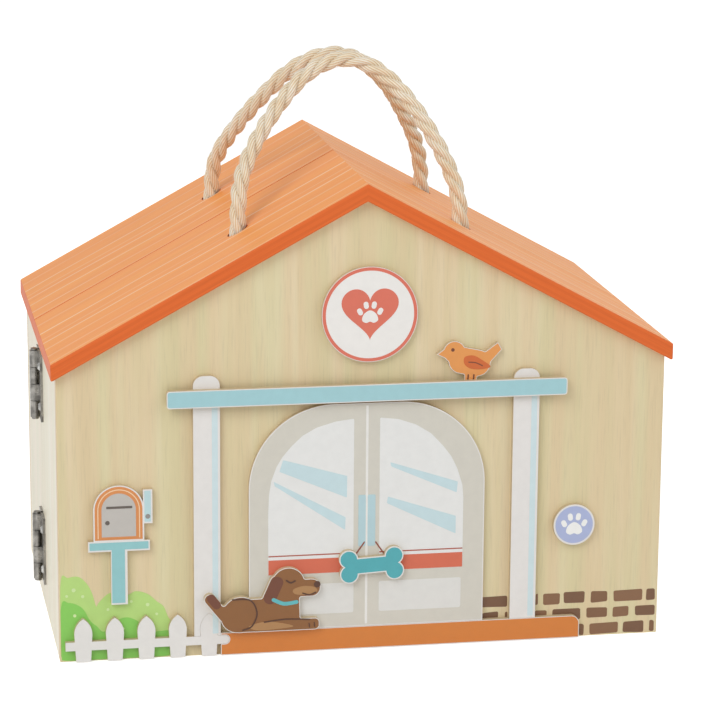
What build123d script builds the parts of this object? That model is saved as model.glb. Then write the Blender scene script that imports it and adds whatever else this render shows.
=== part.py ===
from build123d import *

import os
from math import cos, pi, radians, tan

# Toy vet kit: a house-shaped plywood carry case that opens like a book, with play instruments inside.
# Millimetres, +Z up, front wall towards -Y, origin on the floor under the middle of the house.

# House
width = 300.0
depth = 190.0
eaves_height = 143.0
roof_pitch = 28.6
wall_board = 6.0
floor_board = 6.0
roof_board = 7.5
roof_end_overhang = 5.0
roof_side_overhang = 2.8
edge_round = 0.8
seam_gap = 0.4
seam_chamfer = 0.4

# Rope handles, knotted under the roof
rope_diameter = 8.5
rope_hole_diameter = 10.0
rope_hole_spacing = 112.0
rope_hole_from_seam = 50.0
rope_rise_over_hole = 8.2
knot_diameter = 18.0
knot_length = 16.0
knot_shoulder = 4.5
knot_seat_gap = 0.3
knot_tail = 6.0

# Hinges on the left wall
hinge_length = 35.0
lower_hinge_height = 31.0
upper_hinge_below_eaves = 26.0
hinge_leaf_width = 12.0
hinge_leaf_thickness = 1.2
hinge_barrel_diameter = 4.8
hinge_axis_from_wall = 3.2
hinge_clearance = 0.3
hinge_pin_diameter = 2.0
hinge_pin_clearance = 0.05
hinge_pin_head_diameter = 3.6
hinge_pin_head_height = 0.9
knuckle_count = 4
knuckle_gap = 0.3
screw_spacing = 21.0
screw_from_seam = 7.4
screw_diameter = 2.4
screw_length = 6.0
screw_tip = 1.4
screw_head_diameter = 4.6
screw_head_height = 1.0
screw_clearance = 0.1

# Magnets let into the mating edges of the right-hand walls
magnet_diameter = 4.0
magnet_thickness = 3.0
lower_magnet_height = 35.0
upper_magnet_below_eaves = 33.0
magnet_clearance = 0.05

# Cut-outs glued on the front wall
cutout_board = 3.0
cutout_gap = 0.1
cutout_foot = 0.5
first_picket_from_rail_end = 8.7
last_picket_to_rail_end = 5.0
picket_pitch = 15.4
picket_width = 8.8
picket_foot_width = 7.2
picket_shoulder = 14.5
picket_height = 22.4
rail_from_edge = 2.5
rail_right = -67.2
rail_height = 8.5
rail_width = 4.4
step_left = -71.4
step_right = 109.0
step_height = 11.9
step_round = 4.0
post_width = 13.0
post_top_round = 5.0
left_post_x = -78.0
left_post_top = 141.7
right_post_x = 79.8
right_post_top = 139.8
beam_x = 1.0
beam_height = 131.0
beam_length = 197.0
beam_thickness = 8.6
beam_round = 1.5
door_x = 1.0
door_width = 117.0
door_top = 125.4
door_shoulder_round = 42.0
round_sign_x = 1.6
round_sign_height = 169.3
round_sign_diameter = 47.0
paw_sign_x = 105.3
paw_sign_height = 59.2
paw_sign_diameter = 20.8
bone_x = 2.9
bone_height = 44.1
bone_length = 32.0
bone_waist = 8.4
bone_knob_diameter = 9.4
bone_knob_spread = 7.6
bone_tilt = 3.0
mailbox_from_edge = 29.1
mailbox_width = 24.6
mailbox_foot = 61.2
mailbox_top = 89.0
mailbox_shelf_width = 30.0
mailbox_shelf_thickness = 5.2
mailbox_post_width = 8.0
mailbox_post_foot = 29.0
flag_from_mailbox = 16.4
flag_width = 4.6
flag_foot = 69.5
flag_top = 86.5
animal_outline_round = 1.0

# Lying dog: centre, length and thickness of its rounded parts, or centre and radius, and its neck's corners
dog_body = (-52.5, 21.0, 39.0, 17.0)
dog_haunch = (-62.0, 21.6, 9.2)
dog_foreleg = (-40.0, 15.4, 34.0, 6.0)
dog_foreleg_round = 2.4
dog_tail = (-73.6, 25.6, 17.0, 5.6)
dog_tail_tilt = 128.0
dog_neck = ((-49.0, 26.0), (-45.0, 35.0), (-33.0, 32.0), (-32.5, 18.0))
dog_head = (-38.5, 36.4, 8.2)
dog_muzzle = (-31.0, 34.0, 17.0, 9.0)
dog_ear = (-45.8, 33.4, 16.0, 7.4)
dog_ear_tilt = 66.0

# Bird on the beam, measured in the same way
bird_body = (51.0, 144.2, 21.0, 13.2)
bird_body_tilt = -12.0
bird_head = (43.4, 149.2, 5.4)
bird_beak = ((39.2, 151.4), (34.8, 148.4), (39.0, 146.2))
bird_tail = ((57.0, 147.6), (65.0, 153.4), (67.0, 149.8), (59.0, 141.0))
bird_feet = (51.6, 137.4, 6.0, 7.0)

# Play instruments standing in a rack in the rear half
rack_board = 4.0
rack_height = 70.0
rack_depth = 34.0
rack_slot_clearance = 0.3
thermometer_x = -112.0
thermometer_diameter = 11.0
thermometer_collar_diameter = 17.0
thermometer_collar_thickness = 4.0
thermometer_above_rack = 30.0
thermometer_below_rack = 46.0
thermometer_end_bevel = 3.4
syringe_x = -58.0
syringe_diameter = 18.0
syringe_bore = 14.0
syringe_length = 44.0
syringe_floor = 4.0
syringe_flange_diameter = 27.0
syringe_flange_thickness = 3.0
nozzle_diameter = 6.0
nozzle_bore = 2.0
nozzle_length = 9.0
piston_length = 8.0
piston_clearance = 0.3
plunger_rod_diameter = 7.0
plunger_rod_above_flange = 12.0
thumb_rest_diameter = 20.0
thumb_rest_thickness = 4.0
otoscope_x = -2.0
otoscope_handle_diameter = 15.0
otoscope_handle_length = 48.0
otoscope_collar_diameter = 21.0
otoscope_collar_thickness = 4.0
otoscope_neck_diameter = 10.0
otoscope_neck_length = 6.0
otoscope_peg_length = 8.0
otoscope_peg_clearance = 0.1
otoscope_head_diameter = 22.0
otoscope_head_length = 14.0
otoscope_eyepiece_diameter = 18.0
otoscope_eyepiece_length = 3.0
otoscope_cone_length = 17.0
otoscope_cone_base = 16.0
otoscope_cone_tip = 6.0
otoscope_bore = 4.0
comb_x = 58.0
comb_width = 42.0
comb_thickness = 4.0
comb_above_rack = 24.0
comb_top_round = 10.0
comb_shoulder = 3.5
comb_tooth_count = 7
comb_tooth_width = 2.6
comb_tooth_length = 26.0
comb_tooth_round = 1.2
bottle_x = 112.0
bottle_diameter = 34.0
bottle_height = 38.0
bottle_shoulder = 6.0
bottle_wall = 3.0
bottle_neck_diameter = 18.0
bottle_neck_height = 10.0
cap_diameter = 24.0
cap_height = 12.0
cap_top = 3.0
cap_clearance = 0.2

# A half's sign is its side of the seam along Y, and a hand's sign its side along X
FRONT, REAR = -1, 1
LEFT, RIGHT = -1, 1

half_width = width / 2
half_depth = depth / 2
inner_width = half_width - wall_board
inner_depth = half_depth - wall_board
seam_y = seam_gap / 2
rise = tan(radians(roof_pitch))
roof_drop = roof_board / cos(radians(roof_pitch))
ridge_underside = eaves_height + half_width * rise
hinge_x = -half_width - hinge_axis_from_wall
hinge_heights = (lower_hinge_height, eaves_height - upper_hinge_below_eaves)
magnet_heights = (lower_magnet_height, eaves_height - upper_magnet_below_eaves)
hinge_screw_heights = [middle + side * screw_spacing / 2 for middle in hinge_heights for side in (-1, 1)]
tool_y = inner_depth - rack_depth / 2
rail_left = rail_from_edge - half_width
first_picket_x = rail_left + first_picket_from_rail_end
picket_count = 1 + int((rail_right - last_picket_to_rail_end - first_picket_x) / picket_pitch)
mailbox_x = mailbox_from_edge - half_width
flag_right = mailbox_x + flag_from_mailbox


def roof_underside(x):
    return ridge_underside - abs(x) * rise


# The edge of the knot's flat top just misses the sloping underside of the roof
rope_hole_x = rope_hole_spacing / 2
rope_radius = rope_diameter / 2
knot_radius = knot_diameter / 2
knot_flat = knot_radius - knot_shoulder
knot_drop = knot_seat_gap / cos(radians(roof_pitch)) + knot_flat * rise
knot_top = roof_underside(rope_hole_x) - knot_drop
rope_turn_height = roof_underside(rope_hole_x) + roof_drop + rope_rise_over_hole

# Bends of each rope over the roof, from its left hole to its right one
front_rope_bends = [
    (-53.5, -41.5, 227.5),
    (-43.0, -28.0, 245.5),
    (-29.0, -18.0, 262.5),
    (-14.5, -12.0, 276.0),
    (3.0, -10.5, 282.5),
    (19.0, -14.0, 277.5),
    (32.0, -21.5, 265.0),
    (43.5, -32.0, 247.5),
    (53.0, -42.5, 227.0),
]
rear_rope_bends = [
    (-54.0, 41.5, 226.0),
    (-45.0, 29.0, 243.0),
    (-32.5, 19.0, 260.0),
    (-18.0, 12.5, 275.0),
    (0.0, 10.5, 282.0),
    (16.5, 14.0, 277.5),
    (30.5, 22.0, 265.0),
    (42.0, 33.0, 248.0),
    (52.0, 44.0, 229.0),
]


def across(y):
    """Vertical plane at y, drawn on as seen from the front."""
    return Plane.XZ.offset(-y)


def cutout_back(layer):
    """Plane of a cut-out's back face. Layer 1 is glued on the wall and layer 2 on layer 1."""
    return across(-half_depth - (layer - 1) * cutout_board)


def turning(x, y, z):
    """Plane through the axis of a turned piece: local X is the radius and local Y the height."""
    return Plane((x, y, z), x_dir=(1, 0, 0), z_dir=(0, -1, 0))


def finish(builder, name):
    builder.part.label = name
    export_step(builder.part, f"parts/{name}.step")


# Boards of the two halves

def gable_wall(half):
    with BuildPart() as wall:
        with BuildSketch(across(half * inner_depth)):
            Polygon(
                (-half_width, 0),
                (half_width, 0),
                (half_width, eaves_height),
                (0, ridge_underside),
                (-half_width, eaves_height),
                align=None,
            )
        extrude(amount=-half * wall_board)
        outer_face = wall.faces().filter_by(Axis.Y).sort_by(Axis.Y)[::half][-1]
        fillet(outer_face.edges().filter_by(Axis.Z), edge_round)
    return wall


def side_wall(half, hand):
    with BuildPart() as wall:
        with BuildSketch(across(half * seam_y)):
            Polygon(
                (hand * half_width, 0),
                (hand * half_width, eaves_height),
                (hand * inner_width, roof_underside(inner_width)),
                (hand * inner_width, 0),
                align=None,
            )
        extrude(amount=half * (seam_y - inner_depth))
        if hand == LEFT:
            for height in hinge_screw_heights:
                with Locations(Plane((-half_width, half * screw_from_seam, height), z_dir=(-1, 0, 0))):
                    Hole(
                        screw_diameter / 2 + screw_clearance,
                        screw_length - hinge_leaf_thickness + screw_clearance,
                    )
        else:
            for height in magnet_heights:
                with Locations(Plane((half_width - wall_board / 2, half * seam_y, height), z_dir=(0, -half, 0))):
                    Hole(magnet_diameter / 2 + magnet_clearance, magnet_thickness + magnet_clearance)
    return wall


def floor_panel(half):
    with BuildPart() as panel:
        with BuildSketch(across(half * seam_y)):
            with Locations((0, floor_board / 2)):
                Rectangle(2 * inner_width, floor_board)
        extrude(amount=half * (seam_y - inner_depth))
    return panel


def roof_panel(half, hand):
    eave_x = half_width + roof_side_overhang
    with BuildPart() as panel:
        with BuildSketch(across(half * seam_y)):
            Polygon(
                (0, ridge_underside),
                (0, ridge_underside + roof_drop),
                (hand * eave_x, roof_underside(eave_x) + roof_drop),
                (hand * eave_x, roof_underside(eave_x)),
                align=None,
            )
        extrude(amount=half * (seam_y - half_depth - roof_end_overhang))
        seam_face = panel.faces().filter_by(Axis.Y).sort_by(Axis.Y)[::half][0]
        chamfer(seam_face.edges().filter_by(Axis.Z, reverse=True).sort_by(Axis.Z)[-1], seam_chamfer)
        end_face = panel.faces().filter_by(Axis.Y).sort_by(Axis.Y)[::half][-1]
        end_edges = end_face.edges().sort_by(Axis.X)[::hand][1:]
        eave_edges = panel.edges().filter_by(Axis.Y).sort_by(Axis.X)[::hand][2:]
        fillet(end_edges + eave_edges, edge_round)
        with Locations((hand * rope_hole_x, half * rope_hole_from_seam, ridge_underside)):
            Hole(rope_hole_diameter / 2)
    return panel


# Rope handles

def rope(half, bends):
    """Returns the rope, the line it follows and the radii of its bends."""
    y = half * rope_hole_from_seam
    stops = [
        Vector(-rope_hole_x, y, knot_top),
        Vector(-rope_hole_x, y, rope_turn_height),
        *(Vector(*bend) for bend in bends),
        Vector(rope_hole_x, y, rope_turn_height),
        Vector(rope_hole_x, y, knot_top),
    ]
    radii = []
    for before, bend, after in zip(stops, stops[1:], stops[2:]):
        arriving, leaving = bend - before, after - bend
        turn = radians(arriving.get_angle(leaving))
        radii.append(0.45 * min(arriving.length, leaving.length) / tan(turn / 2))
    with BuildPart() as cord:
        with BuildLine():
            route = FilletPolyline(*stops, radius=radii)
        with BuildSketch(Plane(origin=route @ 0, z_dir=route % 0)):
            Circle(rope_radius)
        sweep()
    return cord, route, radii


def rope_knots(half):
    tail_start = rope_radius - knot_radius
    with BuildPart() as knots:
        for x in (-rope_hole_x, rope_hole_x):
            seat = turning(x, half * rope_hole_from_seam, knot_top)
            with BuildSketch(seat):
                Polygon(
                    (0, 0),
                    (knot_flat, 0),
                    (knot_radius, -knot_shoulder),
                    (knot_radius, -knot_length - tail_start),
                    (rope_radius, -knot_length),
                    (rope_radius, -knot_length - knot_tail),
                    (0, -knot_length - knot_tail),
                    align=None,
                )
            revolve(axis=Axis(seat.origin, seat.y_dir))
    return knots


# Hinges and magnets

def hinge_leaves(half):
    knuckle_pitch = hinge_length / knuckle_count
    barrel_radius = hinge_barrel_diameter / 2
    with BuildPart() as leaves:
        for middle in hinge_heights:
            foot = middle - hinge_length / 2
            # Seen from outside the left wall, local X runs towards the front
            with BuildSketch(Plane((-half_width, 0, foot), x_dir=(0, -1, 0), z_dir=(-1, 0, 0))) as leaf:
                with Locations((-half * (hinge_clearance + hinge_leaf_width / 2), hinge_length / 2)):
                    Rectangle(hinge_leaf_width, hinge_length)
                for side in (-1, 1):
                    with Locations((-half * screw_from_seam, (hinge_length + side * screw_spacing) / 2)):
                        Circle(screw_diameter / 2 + screw_clearance, mode=Mode.SUBTRACT)
                for knuckle in range(1 if half == REAR else 0, knuckle_count, 2):
                    with Locations((0, (knuckle + 0.5) * knuckle_pitch)):
                        Rectangle(
                            2 * (barrel_radius + hinge_clearance),
                            knuckle_pitch + knuckle_gap,
                            mode=Mode.SUBTRACT,
                        )
            extrude(amount=hinge_leaf_thickness)
            for knuckle in range(0 if half == REAR else 1, knuckle_count, 2):
                with BuildSketch(Plane.XY.offset(foot + knuckle * knuckle_pitch + knuckle_gap / 2)):
                    with Locations((hinge_x + hinge_axis_from_wall / 2, half * barrel_radius / 2)):
                        Rectangle(hinge_axis_from_wall, barrel_radius)
                    with Locations((hinge_x, 0)):
                        Circle(barrel_radius)
                        Circle(hinge_pin_diameter / 2 + hinge_pin_clearance, mode=Mode.SUBTRACT)
                extrude(amount=knuckle_pitch - knuckle_gap)
    return leaves


def hinge_screws(half):
    with BuildPart() as screws:
        for height in hinge_screw_heights:
            # Local X runs out of the wall along the screw's axis
            seat = Plane(
                (-half_width - hinge_leaf_thickness, half * screw_from_seam, height),
                x_dir=(-1, 0, 0),
                z_dir=(0, 1, 0),
            )
            with BuildSketch(seat):
                Polygon(
                    (screw_head_height, 0),
                    (-screw_length, 0),
                    (screw_tip - screw_length, screw_diameter / 2),
                    (0, screw_diameter / 2),
                    (0, screw_head_diameter / 2),
                    (screw_head_height, screw_head_diameter / 2 - screw_head_height),
                    align=None,
                )
            revolve(axis=Axis(seat.origin, seat.x_dir))
    return screws


def magnets(half):
    with BuildPart() as discs:
        for height in magnet_heights:
            with BuildSketch(Plane((half_width - wall_board / 2, half * seam_y, height), z_dir=(0, -half, 0))):
                Circle(magnet_diameter / 2)
            extrude(amount=-magnet_thickness)
    return discs


with BuildPart() as hinge_pins:
    for middle in hinge_heights:
        foot = middle - hinge_length / 2
        with BuildSketch(Plane.XY.offset(foot)):
            with Locations((hinge_x, 0)):
                Circle(hinge_pin_diameter / 2)
        extrude(amount=hinge_length)
        for head_foot in (foot - hinge_pin_head_height, foot + hinge_length):
            with BuildSketch(Plane.XY.offset(head_foot)):
                with Locations((hinge_x, 0)):
                    Circle(hinge_pin_head_diameter / 2)
            extrude(amount=hinge_pin_head_height)


# Cut-outs on the front wall

with BuildSketch(cutout_back(1)) as fence_outline:
    for picket in range(picket_count):
        x = first_picket_x + picket * picket_pitch
        with BuildLine():
            Polyline(
                (x - picket_width / 2, picket_shoulder),
                (x - picket_foot_width / 2, cutout_foot),
                (x + picket_foot_width / 2, cutout_foot),
                (x + picket_width / 2, picket_shoulder),
            )
            for side in (-1, 1):
                TangentArc((x + side * picket_width / 2, picket_shoulder), (x, picket_height), tangent=(0, 1))
        make_face()
    rail_end = rail_right - rail_width / 2
    with Locations(((rail_left + rail_end) / 2, rail_height)):
        Rectangle(rail_end - rail_left, rail_width)
    with Locations((rail_end, rail_height)):
        Circle(rail_width / 2)

# The pieces beside the fence are cut to fit round it in the same layer
with BuildSketch(cutout_back(1)) as fence_clearance:
    add(fence_outline.sketch_local)
    offset(amount=cutout_gap)

with BuildPart() as fence:
    extrude(fence_outline.sketch, amount=cutout_board)

with BuildPart() as step:
    with BuildSketch(cutout_back(1)):
        with Locations(((step_left + step_right) / 2, (cutout_foot + step_height) / 2)):
            Rectangle(step_right - step_left, step_height - cutout_foot)
        fillet(vertices().group_by(Axis.Y)[-1].sort_by(Axis.X)[-1], step_round)
        add(fence_clearance.sketch_local, mode=Mode.SUBTRACT)
    extrude(amount=cutout_board)


def post(x, foot, top):
    with BuildPart() as upright:
        with BuildSketch(cutout_back(1)):
            with Locations((x, (foot + top) / 2)):
                Rectangle(post_width, top - foot)
            fillet(vertices().group_by(Axis.Y)[-1], post_top_round)
            add(fence_clearance.sketch_local, mode=Mode.SUBTRACT)
        extrude(amount=cutout_board)
    return upright


with BuildPart() as beam:
    with BuildSketch(cutout_back(2)):
        with Locations((beam_x, beam_height)):
            RectangleRounded(beam_length, beam_thickness, beam_round)
    extrude(amount=cutout_board)

with BuildPart() as door:
    door_foot = step_height + cutout_gap
    with BuildSketch(cutout_back(1)):
        with Locations((door_x, (door_foot + door_top) / 2)):
            Rectangle(door_width, door_top - door_foot)
        fillet(vertices().group_by(Axis.Y)[-1], door_shoulder_round)
    extrude(amount=cutout_board)

with BuildPart() as mailbox:
    with BuildSketch(cutout_back(1)):
        arch_height = mailbox_top - mailbox_width / 2
        shelf_foot = mailbox_foot - mailbox_shelf_thickness
        with Locations((mailbox_x, arch_height)):
            Circle(mailbox_width / 2)
        with Locations((mailbox_x, (mailbox_foot + arch_height) / 2)):
            Rectangle(mailbox_width, arch_height - mailbox_foot)
        with Locations((mailbox_x, shelf_foot + mailbox_shelf_thickness / 2)):
            Rectangle(mailbox_shelf_width, mailbox_shelf_thickness)
        with Locations((mailbox_x, (mailbox_post_foot + shelf_foot) / 2)):
            Rectangle(mailbox_post_width, shelf_foot - mailbox_post_foot)
        with Locations((flag_right - flag_width / 2, (flag_foot + flag_top) / 2)):
            Rectangle(flag_width, flag_top - flag_foot)
    extrude(amount=cutout_board)

with BuildPart() as round_sign:
    with BuildSketch(cutout_back(1)):
        with Locations((round_sign_x, round_sign_height)):
            Circle(round_sign_diameter / 2)
    extrude(amount=cutout_board)

with BuildPart() as paw_sign:
    with BuildSketch(cutout_back(1)):
        with Locations((paw_sign_x, paw_sign_height)):
            Circle(paw_sign_diameter / 2)
    extrude(amount=cutout_board)

with BuildPart() as bone_sign:
    with BuildSketch(cutout_back(2)):
        knob_span = bone_length - bone_knob_diameter
        with Locations(Location((bone_x, bone_height), bone_tilt)):
            Rectangle(knob_span, bone_waist)
            with GridLocations(knob_span, bone_knob_spread, 2, 2):
                Circle(bone_knob_diameter / 2)
    extrude(amount=cutout_board)

with BuildPart() as dog:
    with BuildSketch(cutout_back(2)):
        for (x, height, length, thickness), tilt in (
            (dog_body, 0),
            (dog_tail, dog_tail_tilt),
            (dog_muzzle, 0),
            (dog_ear, dog_ear_tilt),
        ):
            with Locations((x, height)):
                SlotOverall(length, thickness, rotation=tilt)
        for x, height, radius in (dog_haunch, dog_head):
            with Locations((x, height)):
                Circle(radius)
        with Locations(dog_foreleg[:2]):
            RectangleRounded(*dog_foreleg[2:], dog_foreleg_round)
        Polygon(*dog_neck, align=None)
        offset(amount=animal_outline_round)
        offset(amount=-animal_outline_round)
    extrude(amount=cutout_board)

with BuildPart() as bird:
    with BuildSketch(cutout_back(1)):
        with Locations(bird_body[:2]):
            SlotOverall(*bird_body[2:], rotation=bird_body_tilt)
        with Locations(bird_head[:2]):
            Circle(bird_head[2])
        Polygon(*bird_beak, align=None)
        Polygon(*bird_tail, align=None)
        # The feet reach down behind the beam
        with Locations(bird_feet[:2]):
            Rectangle(*bird_feet[2:])
        offset(amount=animal_outline_round)
        offset(amount=-animal_outline_round)
    extrude(amount=cutout_board)


# Rack and instruments

with BuildPart() as tool_rack:
    with BuildSketch(Plane.XY.offset(rack_height - rack_board)):
        with Locations((0, tool_y)):
            Rectangle(2 * inner_width, rack_depth)
        for x, diameter in (
            (thermometer_x, thermometer_diameter),
            (syringe_x, syringe_diameter),
            (otoscope_x, otoscope_handle_diameter),
        ):
            with Locations((x, tool_y)):
                Circle(diameter / 2 + rack_slot_clearance, mode=Mode.SUBTRACT)
        with Locations((comb_x, tool_y)):
            Rectangle(
                comb_width - 2 * comb_shoulder + 2 * rack_slot_clearance,
                comb_thickness + 2 * rack_slot_clearance,
                mode=Mode.SUBTRACT,
            )
    extrude(amount=rack_board)

with BuildPart() as thermometer:
    seat = turning(thermometer_x, tool_y, rack_height)
    radius = thermometer_diameter / 2
    with BuildSketch(seat):
        Polygon(
            (0, -thermometer_below_rack),
            (radius - thermometer_end_bevel, -thermometer_below_rack),
            (radius, thermometer_end_bevel - thermometer_below_rack),
            (radius, 0),
            (thermometer_collar_diameter / 2, 0),
            (thermometer_collar_diameter / 2, thermometer_collar_thickness),
            (radius, thermometer_collar_thickness),
            (radius, thermometer_above_rack - thermometer_end_bevel),
            (radius - thermometer_end_bevel, thermometer_above_rack),
            (0, thermometer_above_rack),
            align=None,
        )
    revolve(axis=Axis(seat.origin, seat.y_dir))

with BuildPart() as syringe_barrel:
    seat = turning(syringe_x, tool_y, rack_height)
    with BuildSketch(seat):
        Polygon(
            (nozzle_bore / 2, -syringe_length - nozzle_length),
            (nozzle_diameter / 2, -syringe_length - nozzle_length),
            (nozzle_diameter / 2, -syringe_length),
            (syringe_diameter / 2, -syringe_length),
            (syringe_diameter / 2, 0),
            (syringe_flange_diameter / 2, 0),
            (syringe_flange_diameter / 2, syringe_flange_thickness),
            (syringe_bore / 2, syringe_flange_thickness),
            (syringe_bore / 2, syringe_floor - syringe_length),
            (nozzle_bore / 2, syringe_floor - syringe_length),
            align=None,
        )
    revolve(axis=Axis(seat.origin, seat.y_dir))

with BuildPart() as syringe_plunger:
    seat = turning(syringe_x, tool_y, rack_height)
    piston_foot = syringe_floor - syringe_length + piston_clearance
    piston_radius = syringe_bore / 2 - piston_clearance
    rod_top = syringe_flange_thickness + plunger_rod_above_flange
    with BuildSketch(seat):
        Polygon(
            (0, piston_foot),
            (piston_radius, piston_foot),
            (piston_radius, piston_foot + piston_length),
            (plunger_rod_diameter / 2, piston_foot + piston_length),
            (plunger_rod_diameter / 2, rod_top),
            (thumb_rest_diameter / 2, rod_top),
            (thumb_rest_diameter / 2, rod_top + thumb_rest_thickness),
            (0, rod_top + thumb_rest_thickness),
            align=None,
        )
    revolve(axis=Axis(seat.origin, seat.y_dir))

with BuildPart() as otoscope_handle:
    seat = turning(otoscope_x, tool_y, rack_height)
    peg_top = otoscope_collar_thickness + otoscope_neck_length + otoscope_peg_length
    with BuildSketch(seat):
        Polygon(
            (0, -otoscope_handle_length),
            (otoscope_handle_diameter / 2, -otoscope_handle_length),
            (otoscope_handle_diameter / 2, 0),
            (otoscope_collar_diameter / 2, 0),
            (otoscope_collar_diameter / 2, otoscope_collar_thickness),
            (otoscope_neck_diameter / 2, otoscope_collar_thickness),
            (otoscope_neck_diameter / 2, peg_top),
            (0, peg_top),
            align=None,
        )
    revolve(axis=Axis(seat.origin, seat.y_dir))

with BuildPart() as otoscope_head:
    head_foot = rack_height + otoscope_collar_thickness + otoscope_neck_length
    middle = turning(otoscope_x, tool_y, head_foot + otoscope_head_diameter / 2)
    head_end = otoscope_head_length / 2
    with BuildSketch(middle):
        Polygon(
            (-head_end - otoscope_eyepiece_length, otoscope_bore / 2),
            (-head_end - otoscope_eyepiece_length, otoscope_eyepiece_diameter / 2),
            (-head_end, otoscope_eyepiece_diameter / 2),
            (-head_end, otoscope_head_diameter / 2),
            (head_end, otoscope_head_diameter / 2),
            (head_end, otoscope_cone_base / 2),
            (head_end + otoscope_cone_length, otoscope_cone_tip / 2),
            (head_end + otoscope_cone_length, otoscope_bore / 2),
            align=None,
        )
    revolve(axis=Axis(middle.origin, middle.x_dir))
    with Locations((otoscope_x, tool_y, head_foot)):
        Hole(otoscope_neck_diameter / 2 + otoscope_peg_clearance, otoscope_peg_length)

with BuildPart() as comb:
    toothed_width = comb_width - 2 * comb_shoulder
    tooth_pitch = (toothed_width - comb_tooth_width) / (comb_tooth_count - 1)
    with BuildSketch(across(tool_y + comb_thickness / 2)):
        with Locations((comb_x, rack_height + comb_above_rack / 2)):
            Rectangle(comb_width, comb_above_rack)
        fillet(vertices().group_by(Axis.Y)[-1], comb_top_round)
        with Locations((comb_x, rack_height - comb_tooth_length / 2)):
            with GridLocations(tooth_pitch, 0, comb_tooth_count, 1):
                Rectangle(comb_tooth_width, comb_tooth_length)
        fillet(vertices().group_by(Axis.Y)[0], comb_tooth_round)
    extrude(amount=comb_thickness)

with BuildPart() as medicine_bottle:
    seat = turning(bottle_x, tool_y, floor_board)
    radius = bottle_diameter / 2
    shoulder_radius = radius - bottle_shoulder
    shoulder_height = bottle_height - bottle_shoulder
    neck_radius = bottle_neck_diameter / 2
    neck_top = bottle_height + bottle_neck_height
    with BuildSketch(seat):
        Polygon(
            (0, bottle_wall),
            (0, 0),
            (radius, 0),
            (radius, shoulder_height),
            (shoulder_radius, bottle_height),
            (neck_radius, bottle_height),
            (neck_radius, neck_top),
            (neck_radius - bottle_wall, neck_top),
            (neck_radius - bottle_wall, bottle_height - bottle_wall),
            (shoulder_radius, bottle_height - bottle_wall),
            (radius - bottle_wall, shoulder_height),
            (radius - bottle_wall, bottle_wall),
            align=None,
        )
    revolve(axis=Axis(seat.origin, seat.y_dir))

with BuildPart() as bottle_cap:
    seat = turning(bottle_x, tool_y, floor_board)
    cap_bore = neck_radius + cap_clearance
    with BuildSketch(seat):
        Polygon(
            (0, neck_top),
            (0, neck_top + cap_top),
            (cap_diameter / 2, neck_top + cap_top),
            (cap_diameter / 2, neck_top + cap_top - cap_height),
            (cap_bore, neck_top + cap_top - cap_height),
            (cap_bore, neck_top),
            align=None,
        )
    revolve(axis=Axis(seat.origin, seat.y_dir))


os.makedirs("parts", exist_ok=True)

for half, half_name, rope_bends in ((FRONT, "front", front_rope_bends), (REAR, "rear", rear_rope_bends)):
    finish(gable_wall(half), f"{half_name}_gable_wall")
    finish(floor_panel(half), f"{half_name}_floor")
    for hand, hand_name in ((LEFT, "left"), (RIGHT, "right")):
        finish(side_wall(half, hand), f"{half_name}_{hand_name}_wall")
        finish(roof_panel(half, hand), f"{half_name}_{hand_name}_roof")
    cord, route, radii = rope(half, rope_bends)
    finish(cord, f"{half_name}_rope")
    finish(rope_knots(half), f"{half_name}_rope_knots")
    finish(hinge_leaves(half), f"{half_name}_hinge_leaves")
    finish(hinge_screws(half), f"{half_name}_hinge_screws")
    finish(magnets(half), f"{half_name}_magnets")
    volume_share = cord.part.volume / (pi * rope_radius**2 * route.length)
    print(half_name, "rope", round(route.length, 1), "mm long, volume over section x length", round(volume_share, 4))
    print(half_name, "rope bend radii", [round(radius, 1) for radius in radii])

finish(hinge_pins, "hinge_pins")
finish(fence, "fence")
finish(step, "step")
finish(post(left_post_x, rail_height + rail_width / 2 + cutout_gap, left_post_top), "left_post")
finish(post(right_post_x, step_height + cutout_gap, right_post_top), "right_post")
finish(beam, "beam")
finish(door, "door")
finish(mailbox, "mailbox")
finish(round_sign, "round_sign")
finish(paw_sign, "paw_sign")
finish(bone_sign, "bone_sign")
finish(dog, "dog")
finish(bird, "bird")
finish(tool_rack, "tool_rack")
finish(thermometer, "thermometer")
finish(syringe_barrel, "syringe_barrel")
finish(syringe_plunger, "syringe_plunger")
finish(otoscope_handle, "otoscope_handle")
finish(otoscope_head, "otoscope_head")
finish(comb, "comb")
finish(medicine_bottle, "medicine_bottle")
finish(bottle_cap, "bottle_cap")
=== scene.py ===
import bmesh
import bpy
import math
import random
from functools import partial
from mathutils import Matrix, Vector
from mathutils.geometry import tessellate_polygon


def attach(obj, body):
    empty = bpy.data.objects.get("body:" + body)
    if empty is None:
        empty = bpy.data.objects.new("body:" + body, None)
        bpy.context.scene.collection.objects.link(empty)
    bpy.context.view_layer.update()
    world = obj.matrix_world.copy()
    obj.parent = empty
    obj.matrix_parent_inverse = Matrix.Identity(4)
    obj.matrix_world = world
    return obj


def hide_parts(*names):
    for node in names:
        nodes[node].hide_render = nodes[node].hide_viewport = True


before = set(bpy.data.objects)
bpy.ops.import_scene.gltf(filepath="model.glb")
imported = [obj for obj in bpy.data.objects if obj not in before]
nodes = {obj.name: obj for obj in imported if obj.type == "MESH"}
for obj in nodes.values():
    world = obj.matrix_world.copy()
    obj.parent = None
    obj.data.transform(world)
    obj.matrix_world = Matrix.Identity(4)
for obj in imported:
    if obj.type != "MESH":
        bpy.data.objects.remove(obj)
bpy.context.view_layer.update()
mm = 0.001
dice = random.Random(31)

# Fitted to the house's corners in the photograph: metres, degrees and the lens in millimetres.
cameraLook = {
    "place": (-0.2600, -1.5130, 0.4910), "azimuth": 9.77, "elevation": -13.70, "roll": 0.29,
    "lens": 156.1, "shift": (0.0283, 0.0283),
}


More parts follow.
